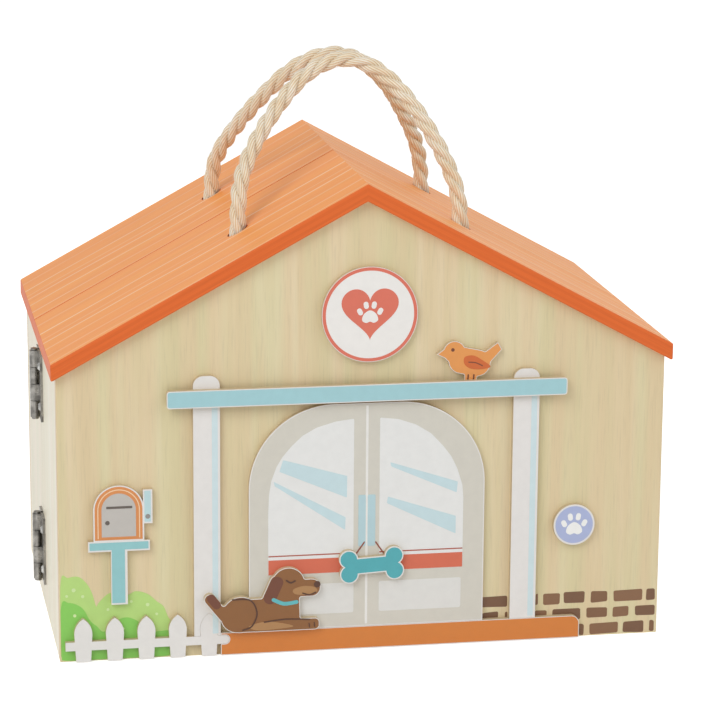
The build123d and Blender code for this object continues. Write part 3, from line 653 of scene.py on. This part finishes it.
def drawnIn(outline, inset):
    # The outline moved inwards, without the points that would come too near another side.
    spots = [Vector(point) for point in outline]
    spots = [spot for n, spot in enumerate(spots) if (spot - spots[n - 1]).length > 0.02]
    found = []
    for n, spot in enumerate(spots):
        before = (spot - spots[n - 1]).normalized()
        after = (spots[(n + 1) % len(spots)] - spot).normalized()
        bend = Vector((-before.y, before.x)) + Vector((-after.y, after.x))
        moved = spot + bend * inset / max(0.3, 1 + before.dot(after))
        clear = True
        for m, start in enumerate(spots):
            run = spots[(m + 1) % len(spots)] - start
            share = max(0.0, min(1.0, (moved - start).dot(run) / run.length_squared))
            if (moved - start - run * share).length < inset * 0.93:
                clear = False
                break
        if clear:
            found.append((moved.x, moved.y))
    return found


inks = {}


def ink(name, code):
    if name not in inks:
        inks[name] = printedBoard(name + " ink", code)
    return inks[name]


def layer(name, outlines, material, body, rise, bend, cuts=0.0):
    # A thin closed layer: drawn flat in millimetres, cut into strips if it is to bend, then put in place.
    bm = bmesh.new()
    for outline in outlines:
        area = sum(a[0] * b[1] - b[0] * a[1] for a, b in zip(outline, outline[1:] + outline[:1]))
        points = outline if area > 0 else outline[::-1]
        top = [bm.verts.new((x, -rise, z)) for x, z in points]
        base = [bm.verts.new((x, 0, z)) for x, z in points]
        for corners in tessellate_polygon([[Vector((x, z, 0)) for x, z in points]]):
            for ring in (top, base):
                bm.faces.new([ring[n] for n in corners])
        for n in range(len(points)):
            follow = (n + 1) % len(points)
            bm.faces.new((top[n], base[n], base[follow], top[follow]))
    if cuts:
        reach = max(abs(vertex.co.x) for vertex in bm.verts)
        for n in range(-int(reach / cuts), int(reach / cuts) + 1):
            bmesh.ops.bisect_plane(bm, geom=bm.verts[:] + bm.edges[:] + bm.faces[:], dist=1e-5,
                                   plane_co=(n * cuts, 0, 0), plane_no=(1, 0, 0))
    for vertex in bm.verts:
        vertex.co = Vector(bend(*vertex.co)) * mm
    return placePiece(name, bm, material, body)


def printSheet(sheet):
    # One board's print from the board outwards, a film a level: piece, level, ink, its colour, outlines.
    for name, level, inkName, code, outlines in sheet["rows"]:
        layer(name, outlines, ink(inkName, code), "front_half", inkFilm * level,
              lambda x, y, z: (x, sheet["face"] + y, z))


# Where the wall's face and the two layers of boards on it end, and the thickness of a film of ink.
wallFace, firstLayer, secondLayer, inkFilm = -95.0, -98.0, -101.0, 0.07
wallEdge = {"left": -149.5, "foot": 0.5}


def leaves(points):
    # A bush's round outline, kept on the wall.
    return [(max(x, wallEdge["left"]), max(z, wallEdge["foot"])) for x, z in smoothLine(points, closed=True)]


# Bushes and bricks, printed straight on the wall.
printSheet({"slot": "front_ply", "face": wallFace, "rows": [
    ("bush_leaves_1", 1, "leaf green", "#b4d67c", [leaves([
        (-149.2, 1), (-149.2, 40.5), (-145.5, 42.7), (-140.5, 43), (-136.4, 39.2), (-133.9, 34),
        (-132.6, 29), (-130, 20), (-129, 1)])]),
    ("bush_leaves_2", 2, "leaf green", "#b4d67c", [leaves([
        (-134, 1), (-133, 24), (-128, 32.4), (-122.5, 34.6), (-117, 32.7), (-112.7, 34.4), (-107, 32.8),
        (-102.5, 28.8), (-99.2, 26), (-97.2, 21), (-94.6, 15), (-94.6, 1)])]),
    ("bush_shade", 3, "grass green", "#86c95a", [leaves([
        (-149, 1), (-149, 28.6), (-145.4, 30), (-141, 28.6), (-138, 25.9), (-135.2, 20.6), (-132, 17.6),
        (-128.6, 14.6), (-124, 19), (-119, 21.2), (-115, 20.8), (-110.6, 18), (-107, 13), (-101, 13.6),
        (-95.6, 12.4), (-95.6, 1)])]),
    ("bush_dots", 4, "pale leaf", "#cde4a4", [disc(x, z, radius, 20) for x, z, radius in (
        (-143, 36.4, 1.0), (-138.6, 33, 0.8), (-146.4, 33.5, 0.7), (-122, 29.6, 0.9), (-115, 29.4, 0.7),
        (-107, 27.4, 0.9), (-126.4, 25.8, 0.7), (-102.6, 22.4, 0.7), (-142.6, 23.4, 0.8),
        (-119.2, 15.6, 0.8), (-137.6, 13.5, 0.8))]),
]})

brickPrint = {
    "tones": ["#79563b", "#815d41", "#704f37"], "corner": 1.1, "wobble": 0.35,
    "rows": [
        (17.4, 23.1, [(59.6, 72.7), (87.1, 88.3), (91, 99.6), (101.6, 112.3), (115.6, 123.9), (127.3, 142.2),
                      (144.1, 148.6)]),
        (9.1, 14.7, [(60.1, 68.1), (71.7, 73.1), (87, 92.9), (95.9, 110.3), (113.5, 124), (127.1, 135.3),
                     (138.6, 148.6)]),
        (0.6, 6.4, [(109.7, 112.2), (115.3, 129.9), (132.5, 143.1), (146.1, 148.6)]),
    ],
}
brickSets = [[], [], []]
for bottom, top, spans in brickPrint["rows"]:
    for number, (left, right) in enumerate(spans):
        wobble = [dice.uniform(-1, 1) * brickPrint["wobble"] for _ in range(8)]
        places = ((left, bottom), (right, bottom), (right, top), (left, top))
        corners = [(x + wobble[2 * n] * 0.5, z + wobble[2 * n + 1]) for n, (x, z) in enumerate(places)]
        brickSets[(number + int(top)) % 3].append(rounded(corners, brickPrint["corner"]))
printSheet({"slot": "front_ply", "face": wallFace, "rows": [
    ("bricks_" + str(number), 1, "brick brown " + str(number), tone, bricks)
    for number, (tone, bricks) in enumerate(zip(brickPrint["tones"], brickSets), 1)]})

# Double door with arched windows, stripe, panels and pull handles.
printSheet({"slot": "door_print", "face": firstLayer, "rows": [
    ("door_frame", 1, "warm grey", "#cfcbc0", cadFront("door", 0.55)),
    ("door_windows", 2, "window white", "#e3e3e1", [rounded(window, 0.8) for window in (
        [(-48, 40.2), (-5.8, 40.2), (-5.8, 117.8), (-15, 116.7), (-24.3, 114), (-31.2, 110.2), (-36.7, 105),
         (-41, 99.9), (-43.8, 95.3), (-46.5, 88.1), (-47.6, 81), (-48, 72)],
        [(7, 40.2), (48.9, 40.2), (48.9, 76), (48.3, 82.3), (45.7, 90.6), (42.6, 97), (38.6, 102.3),
         (32.4, 109), (24.7, 113.8), (16, 116.8), (7, 117.9)])]),
    ("door_streaks", 3, "window blue", "#c3d9de", [rounded(streak, 0.5) for streak in (
        [(-40.7, 98.4), (-42.5, 92.6), (-9.2, 78.2), (-9.1, 89.1)],
        [(-45.4, 87.7), (-44.7, 85.4), (-10, 61.8), (-9.8, 68.2)],
        [(12.2, 95.2), (12.8, 93), (45.5, 78.5), (46, 84)],
        [(11.2, 77.8), (10.7, 74.5), (45.2, 57.5), (45.2, 66.5)])]),
    ("door_stripe", 3, "coral", "#d0694e", [
        block(-47.9, 40.3, -5.9, 47.8, 0.2), block(7.1, 40.3, 48.8, 47.8, 0.2)]),
    ("door_line", 3, "red brown", "#a8543f", [
        block(-47.9, 49.5, -5.9, 50.1, 0.1), block(7.1, 49.5, 48.8, 50.1, 0.1)]),
    ("door_panels", 2, "panel white", "#dcdbd7", [
        block(-47.5, 19.3, -5.6, 34.8, 1.2), block(7, 19.3, 48.2, 34.8, 1.2)]),
    ("door_seam", 2, "seam white", "#e6e4e0", [block(0.1, 13.2, 1.3, 124.2, 0.2)]),
    ("door_handles", 3, "handle blue", "#b2cdd3", [
        block(-3.4, 53.1, 0.2, 79.2, 0.7), block(1.2, 53.1, 5, 79.2, 0.7)]),
    ("sign_strings", 4, "string brown", "#8a4a36", [
        stroke([(-0.4, 55.1), (-5.2, 48.2)], 0.7), stroke([(5.3, 54.9), (9.6, 48.6)], 0.7)]),
]})

# Posts, beam and step. The fence is plain.
printSheet({"slot": "white_print", "face": firstLayer, "rows": [
    ("post_stripes", 1, "post blue", "#cbdde1", [
        block(-75.4, 11.8, -72.6, 128, 0.4), block(82.4, 13, 85.2, 128, 0.4)])]})
printSheet({"slot": "blue_print", "face": secondLayer, "rows": [
    ("beam_print", 1, "beam blue", "#9fc9cf", cadFront("beam", 0.5))]})
printSheet({"slot": "orange_print", "face": firstLayer, "rows": [
    ("step_print", 1, "step orange", "#cf7c35", cadFront("step", 0.35))]})


def archway(left, bottom, right, top, steps=24):
    middle, radius = (left + right) / 2, (right - left) / 2
    crown = [(middle + radius * math.cos(math.pi * n / steps),
              top - radius + radius * math.sin(math.pi * n / steps)) for n in range(steps + 1)]
    return [(left, bottom), (right, bottom)] + crown


# Mailbox with its shelf, post and flag.
printSheet({"slot": "mailbox_print", "face": firstLayer, "rows": [
    ("mailbox_rim", 1, "mailbox orange", "#d58a50", [archway(-132.5, 61.8, -109.4, 88.4)]),
    ("mailbox_ring", 2, "ring cream", "#efcfa9", [archway(-131.2, 62.6, -110.6, 87.1)]),
    ("mailbox_inner_rim", 3, "mailbox orange", "#d58a50", [archway(-130.7, 62.6, -111.1, 86.6)]),
    ("mailbox_front", 4, "mailbox grey", "#bdb8b2", [archway(-129.2, 63.4, -112.6, 85.1)]),
    ("mailbox_slot", 5, "slot brown", "#5f5650", [
        block(-126.9, 77.5, -114.3, 78.7, 0.4), disc(-126.4, 70.5, 1.1, 24)]),
    ("mailbox_stand", 1, "stand teal", "#8fc3c6", [
        block(-135.2, 56.8, -106.6, 60.5, 0.5), block(-124.5, 29.8, -118.1, 56.8, 0.2)]),
    ("mailbox_flag", 1, "flag blue", "#b9d5d8", [block(-108.4, 70.3, -105.3, 85.8, 0.6)]),
    ("mailbox_pivot", 2, "pivot grey", "#8e8a86", [disc(-106.8, 73, 1.2, 24)]),
]})


def heart(x, z, size, count=72):
    # The curve is 32 units wide.
    points = []
    for n in range(count):
        t = 2 * math.pi * n / count
        points.append((x + size / 32 * 16 * math.sin(t) ** 3,
                       z + size / 32 * (13 * math.cos(t) - 5 * math.cos(2 * t) - 2 * math.cos(3 * t)
                                        - math.cos(4 * t)) + size * 0.08))
    return points


pawPad = [(0, 0.1), (0.2, -0.02), (0.26, -0.22), (0.13, -0.31), (0, -0.27), (-0.13, -0.31), (-0.26, -0.22),
          (-0.2, -0.02)]
pawToes = [(-0.33, 0.06, 118), (-0.13, 0.27, 100), (0.13, 0.27, 80), (0.33, 0.06, 62)]


def paw(x, z, size):
    pad = smoothLine([(x + dx * size, z + dz * size) for dx, dz in pawPad], closed=True)
    return [pad] + [capsule(x + dx * size, z + dz * size, 0.24 * size, 0.16 * size, tilt)
                    for dx, dz, tilt in pawToes]


# Round sign with a heart and a paw, the small paw sign, and the door's bone-shaped sign, left bare.
signX, signZ, pawX, pawZ = 1.6, 169.3, 105.3, 59.2
printSheet({"slot": "sign_print", "face": firstLayer, "rows": [
    ("sign_rim", 1, "sign coral", "#d66f5a", [disc(signX, signZ, 23.2, 96)]),
    ("sign_field", 2, "sign white", "#eae7e3", [disc(signX, signZ, 21.6, 96)]),
    ("sign_heart", 3, "sign coral", "#d66f5a", [heart(signX, signZ, 28)]),
    ("sign_paw", 4, "sign white", "#eae7e3", paw(signX, signZ + 0.6, 15)),
]})
printSheet({"slot": "paw_print", "face": firstLayer, "rows": [
    ("paw_field", 1, "lavender blue", "#a9b3d6", [disc(pawX, pawZ, 9.5, 72)]),
    ("paw_mark", 2, "paw white", "#eeeeec", paw(pawX, pawZ - 0.2, 15.6)),
]})
printSheet({"slot": "bone_print", "face": secondLayer, "rows": [
    ("bone_field", 1, "bone teal", "#4fa6ae", cadFront("bone_sign", 0.6))]})

# Lying dog and perched bird.
printSheet({"slot": "dog_print", "face": secondLayer, "rows": [
    ("dog_coat", 1, "coat brown", "#85582f", cadFront("dog", 0.35)),
    ("dog_dark", 2, "ear brown", "#6a3c28", [
        capsule(-45.8, 33.4, 14.6, 6.2, 66), capsule(-75.2, 29, 8.6, 4.2, 128)]),
    ("dog_light", 2, "belly tan", "#a87d50", [
        smoothLine([(-58, 15.6), (-50, 17.6), (-42, 16.6), (-36, 14.6), (-44, 13.6), (-54, 13.4)],
                   closed=True),
        smoothLine([(-36, 33.4), (-31, 35), (-25.4, 34.2), (-24.4, 31.8), (-29, 30.6), (-35, 31)],
                   closed=True)]),
    ("dog_collar", 3, "collar teal", "#5fb3b8", [stroke([(-45.8, 28.6), (-40.6, 26.4), (-34.4, 27)], 1.9)]),
    ("dog_lines", 4, "line brown", "#4c2c1c", [
        stroke([(-39.4, 38.2), (-37.4, 37), (-35.2, 37.8)], 0.8), disc(-24.2, 35.6, 1.6, 24),
        stroke([(-25, 31.6), (-28, 30.5), (-31.4, 31.4)], 0.6),
        stroke([(-66, 29.6), (-57.4, 29), (-54, 22.4), (-56.4, 15.8), (-61, 13.8)], 0.7),
        stroke([(-50.4, 17.4), (-40, 18.4), (-28, 17.8)], 0.6),
        stroke([(-25.4, 14), (-25.6, 16)], 0.5), stroke([(-28, 13.8), (-28.2, 15.8)], 0.5)]),
]})
printSheet({"slot": "bird_print", "face": firstLayer, "rows": [
    ("bird_body", 1, "bird orange", "#df9550", cadFront("bird", 0.28)),
    ("bird_wing", 2, "wing rust", "#c9652f", [smoothLine([
        (48.6, 146.6), (53, 147.2), (57.6, 144.6), (61.4, 141.4), (56.6, 140.2), (51.4, 140.8),
        (48.4, 143.2)], closed=True)]),
    ("bird_dark", 3, "bird brown", "#6b3a24", [
        disc(42.6, 150.4, 0.85, 20), stroke([(50.4, 137.6), (50.2, 134.8)], 0.7),
        stroke([(53.2, 137.6), (53, 134.8)], 0.7), stroke([(50.6, 144), (54, 143.6), (57.4, 142)], 0.5)]),
]})
print("artwork printed")


# Cross recesses in the hinge screws' heads, drawn as thin dark films of painted shade, each turned as it was
# driven in.
screwLook = {"heights": (20.5, 41.5, 106.5, 127.5), "fromSeam": 7.4, "headFace": -152.2, "arm": 0.2,
             "reach": 0.95, "film": 0.03}
recessShade = nickelPlate("shaded screw recess", "#4a4845", 0.5)


def crossOutline(arm, reach):
    return [(-arm, -reach), (arm, -reach), (arm, -arm), (reach, -arm), (reach, arm), (arm, arm),
            (arm, reach), (-arm, reach), (-arm, arm), (-reach, arm), (-reach, -arm), (-arm, -arm)]


for half, seamSide in (("front", -1), ("rear", 1)):
    for number, height in enumerate(screwLook["heights"]):
        turn = dice.uniform(0, math.pi / 2)
        spun = [(u * math.cos(turn) - v * math.sin(turn), u * math.sin(turn) + v * math.cos(turn))
                for u, v in crossOutline(screwLook["arm"], screwLook["reach"])]
        layer(half + "_screw_recess_shade_" + str(number + 1), [spun], recessShade, half + "_half",
              screwLook["film"], lambda x, y, z: (
                  screwLook["headFace"] + y, seamSide * screwLook["fromSeam"] + x, height + z))

# Marks and bands round the turned play instruments, their middle towards the front: piece, its height off
# the surface, ink, colour, outlines.
toolPrints = [
    {"axis": (-112, 72), "radius": 5.5, "slot": "tool_white", "rows": [
        ("thermometer_column", 0.08, "thermometer red", "#cf5a45", [
            block(-0.6, 76, 0.6, 88, 0.5), disc(0, 77, 1.5, 24)]),
        ("thermometer_ticks", 0.08, "scale blue grey", "#4c6f78", [
            block(1.6, 78 + 2 * n - 0.2, 4.2 if n % 2 else 3.2, 78 + 2 * n + 0.2, 0.1) for n in range(8)]),
        ("thermometer_band", 0.08, "thermometer red", "#cf5a45", [block(-17.27, 30, 17.27, 34, 0.1)])]},
    {"axis": (-58, 72), "radius": 9, "slot": "tool_blue", "rows": [
        ("syringe_ticks", 0.08, "scale blue grey", "#4c6f78", [
            block(-0.4 if n % 3 else -2.4, 32 + 3.4 * n - 0.28, 4.4, 32 + 3.4 * n + 0.28, 0.15)
            for n in range(10)])]},
    {"axis": (-2, 72), "radius": 7.5, "slot": "tool_beech", "rows": [
        ("otoscope_bands", 0.08, "label teal", "#4fa6ae", [
            block(-23.5, 27, 23.5, 30, 0.1), block(-23.5, 32, 23.5, 33.4, 0.1)])]},
    {"axis": (112, 72), "radius": 17, "slot": "tool_white", "rows": [
        ("bottle_label", 0.08, "label cream", "#f2e9d4", [block(-24, 14, 24, 31, 1.2)]),
        ("bottle_label_lines", 0.14, "label teal", "#4fa6ae", [
            block(-23, 15.2, 23, 16.2, 0.2), block(-23, 28.8, 23, 29.8, 0.2)]),
        ("bottle_label_heart", 0.14, "thermometer red", "#cf5a45", [heart(0, 22.2, 9)])]},
]
for look in toolPrints:
    (middle, depth), radius = look["axis"], look["radius"]
    for name, rise, inkName, code, outlines in look["rows"]:
        layer(name, outlines, ink(inkName, code), "rear_half", rise,
              lambda x, y, z: (middle + (radius - y) * math.sin(x / radius),
                               depth - (radius - y) * math.cos(x / radius), z), cuts=0.8)

# The medicine bottle's cap; sizes as its CAD node's, which it replaces.
capLook = {"axis": (112, 72), "radius": 12, "foot": 45, "top": 57, "bore": 9.2, "ceiling": 54, "ribs": 30,
           "ribDepth": 0.5, "ribSides": 8, "round": 1.3}


def ribbedCap(look):
    # Screw-on style cap: gripping ribs round its side, a rounded rim and a plain top.
    bm = bmesh.new()
    outer, foot, top, rim = (look[key] for key in ("radius", "foot", "top", "round"))
    profile = [(look["bore"], look["ceiling"], 0), (look["bore"], foot, 0), (outer - 0.5, foot, 0),
               (outer, foot + 0.5, 0.4), (outer, foot + 1.4, 1), (outer, top - rim - 0.8, 1)]
    profile += [(outer - rim + rim * math.cos(a), top - rim + rim * math.sin(a), 0)
                for a in (math.pi / 2 * n / 6 for n in range(7))]
    profile += [(outer - 3, top, 0), (outer - 3.5, top - 0.35, 0)]
    count = look["ribs"] * look["ribSides"]
    rings = []
    for radius, z, ribbing in profile:
        ring = []
        for n in range(count):
            angle = 2 * math.pi * n / count
            dip = look["ribDepth"] * ribbing * (0.5 - 0.5 * math.cos(look["ribs"] * angle)) ** 2
            ring.append(bm.verts.new(Vector((look["axis"][0] + (radius - dip) * math.cos(angle),
                                             look["axis"][1] + (radius - dip) * math.sin(angle), z)) * mm))
        rings.append(ring)
    for ring, after in zip(rings, rings[1:]):
        for n in range(count):
            follow = (n + 1) % count
            bm.faces.new((ring[n], ring[follow], after[follow], after[n]))
    bm.faces.new(rings[0])
    bm.faces.new(rings[-1])
    cap = placePiece("ribbed_bottle_cap", bm, orangeLacquer, "rear_half", smooth=35)
    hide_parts("bottle_cap")


ribbedCap(capLook)
print("instruments finished")


# Floor, white surroundings and soft studio light.
studio = {
    "floor": "#f4f4f3", "floorGlow": 0.6, "worldLight": 0.5,
    "key": {"place": (-1.3, -1.6, 1.7), "size": 1.6, "power": 27},
    "fill": {"place": (1.5, -1.0, 1.2), "size": 1.4, "power": 8},
}


def softLamp(name, look, aim):
    lamp = bpy.data.lights.new(name, "AREA")
    lamp.shape, lamp.size, lamp.energy = "DISK", look["size"], look["power"]
    holder = bpy.data.objects.new(name, lamp)
    bpy.context.scene.collection.objects.link(holder)
    holder.location = look["place"]
    holder.rotation_euler = (Vector(aim) - Vector(look["place"])).to_track_quat("-Z", "Y").to_euler()


def seenWhite(add):
    # 1 for rays that look straight at the surroundings or mirror them, so metal shows them too.
    rays = add("LightPath")
    larger = {"operation": "MAXIMUM"}
    shiny = add("Math", larger, {0: rays["Is Camera Ray"], 1: rays["Is Glossy Ray"]})
    return add("Math", larger, {0: shiny[0], 1: rays["Is Transmission Ray"]})[0]


bm = bmesh.new()
bmesh.ops.create_grid(bm, x_segments=1, y_segments=1, size=6)
floorMesh = bpy.data.meshes.new("floor")
bm.to_mesh(floorMesh)
bm.free()
floor = bpy.data.objects.new("floor", floorMesh)
bpy.context.scene.collection.objects.link(floor)
paper, add, shader = newMaterial("matt white paper floor", {"Roughness": 0.9, "Specular IOR Level": 0.1})
shader.inputs["Base Color"].default_value = linear(studio["floor"])
glow = add("Emission", {}, {"Color": grey(1), "Strength": studio["floorGlow"]})
dark = add("Emission", {}, {"Color": grey(0), "Strength": 0.0})
seen = add("MixShader", {}, {0: seenWhite(add), 1: dark[0], 2: glow[0]})
both = add("AddShader", {}, {0: shader.outputs[0], 1: seen[0]})
paper.node_tree.links.new(both[0], paper.node_tree.nodes["Material Output"].inputs["Surface"])
floorMesh.materials.append(paper)

world = bpy.data.worlds.new("studio")
bpy.context.scene.world = world
world.use_nodes = True
tree, add = world.node_tree, partial(addNode, world.node_tree)
backdrop = tree.nodes["Background"]
backdrop.inputs["Color"].default_value = grey(1)
backdrop.inputs["Strength"].default_value = studio["worldLight"]
white = add("Background", {}, {"Color": grey(1), "Strength": 1.0})
mixed = add("MixShader", {}, {0: seenWhite(add), 1: backdrop.outputs[0], 2: white[0]})
tree.links.new(mixed[0], tree.nodes["World Output"].inputs["Surface"])
softLamp("key", studio["key"], (0, 0, 0.12))
softLamp("fill", studio["fill"], (0, 0, 0.12))
bpy.context.scene.view_settings.view_transform = "Standard"
print("studio lit")
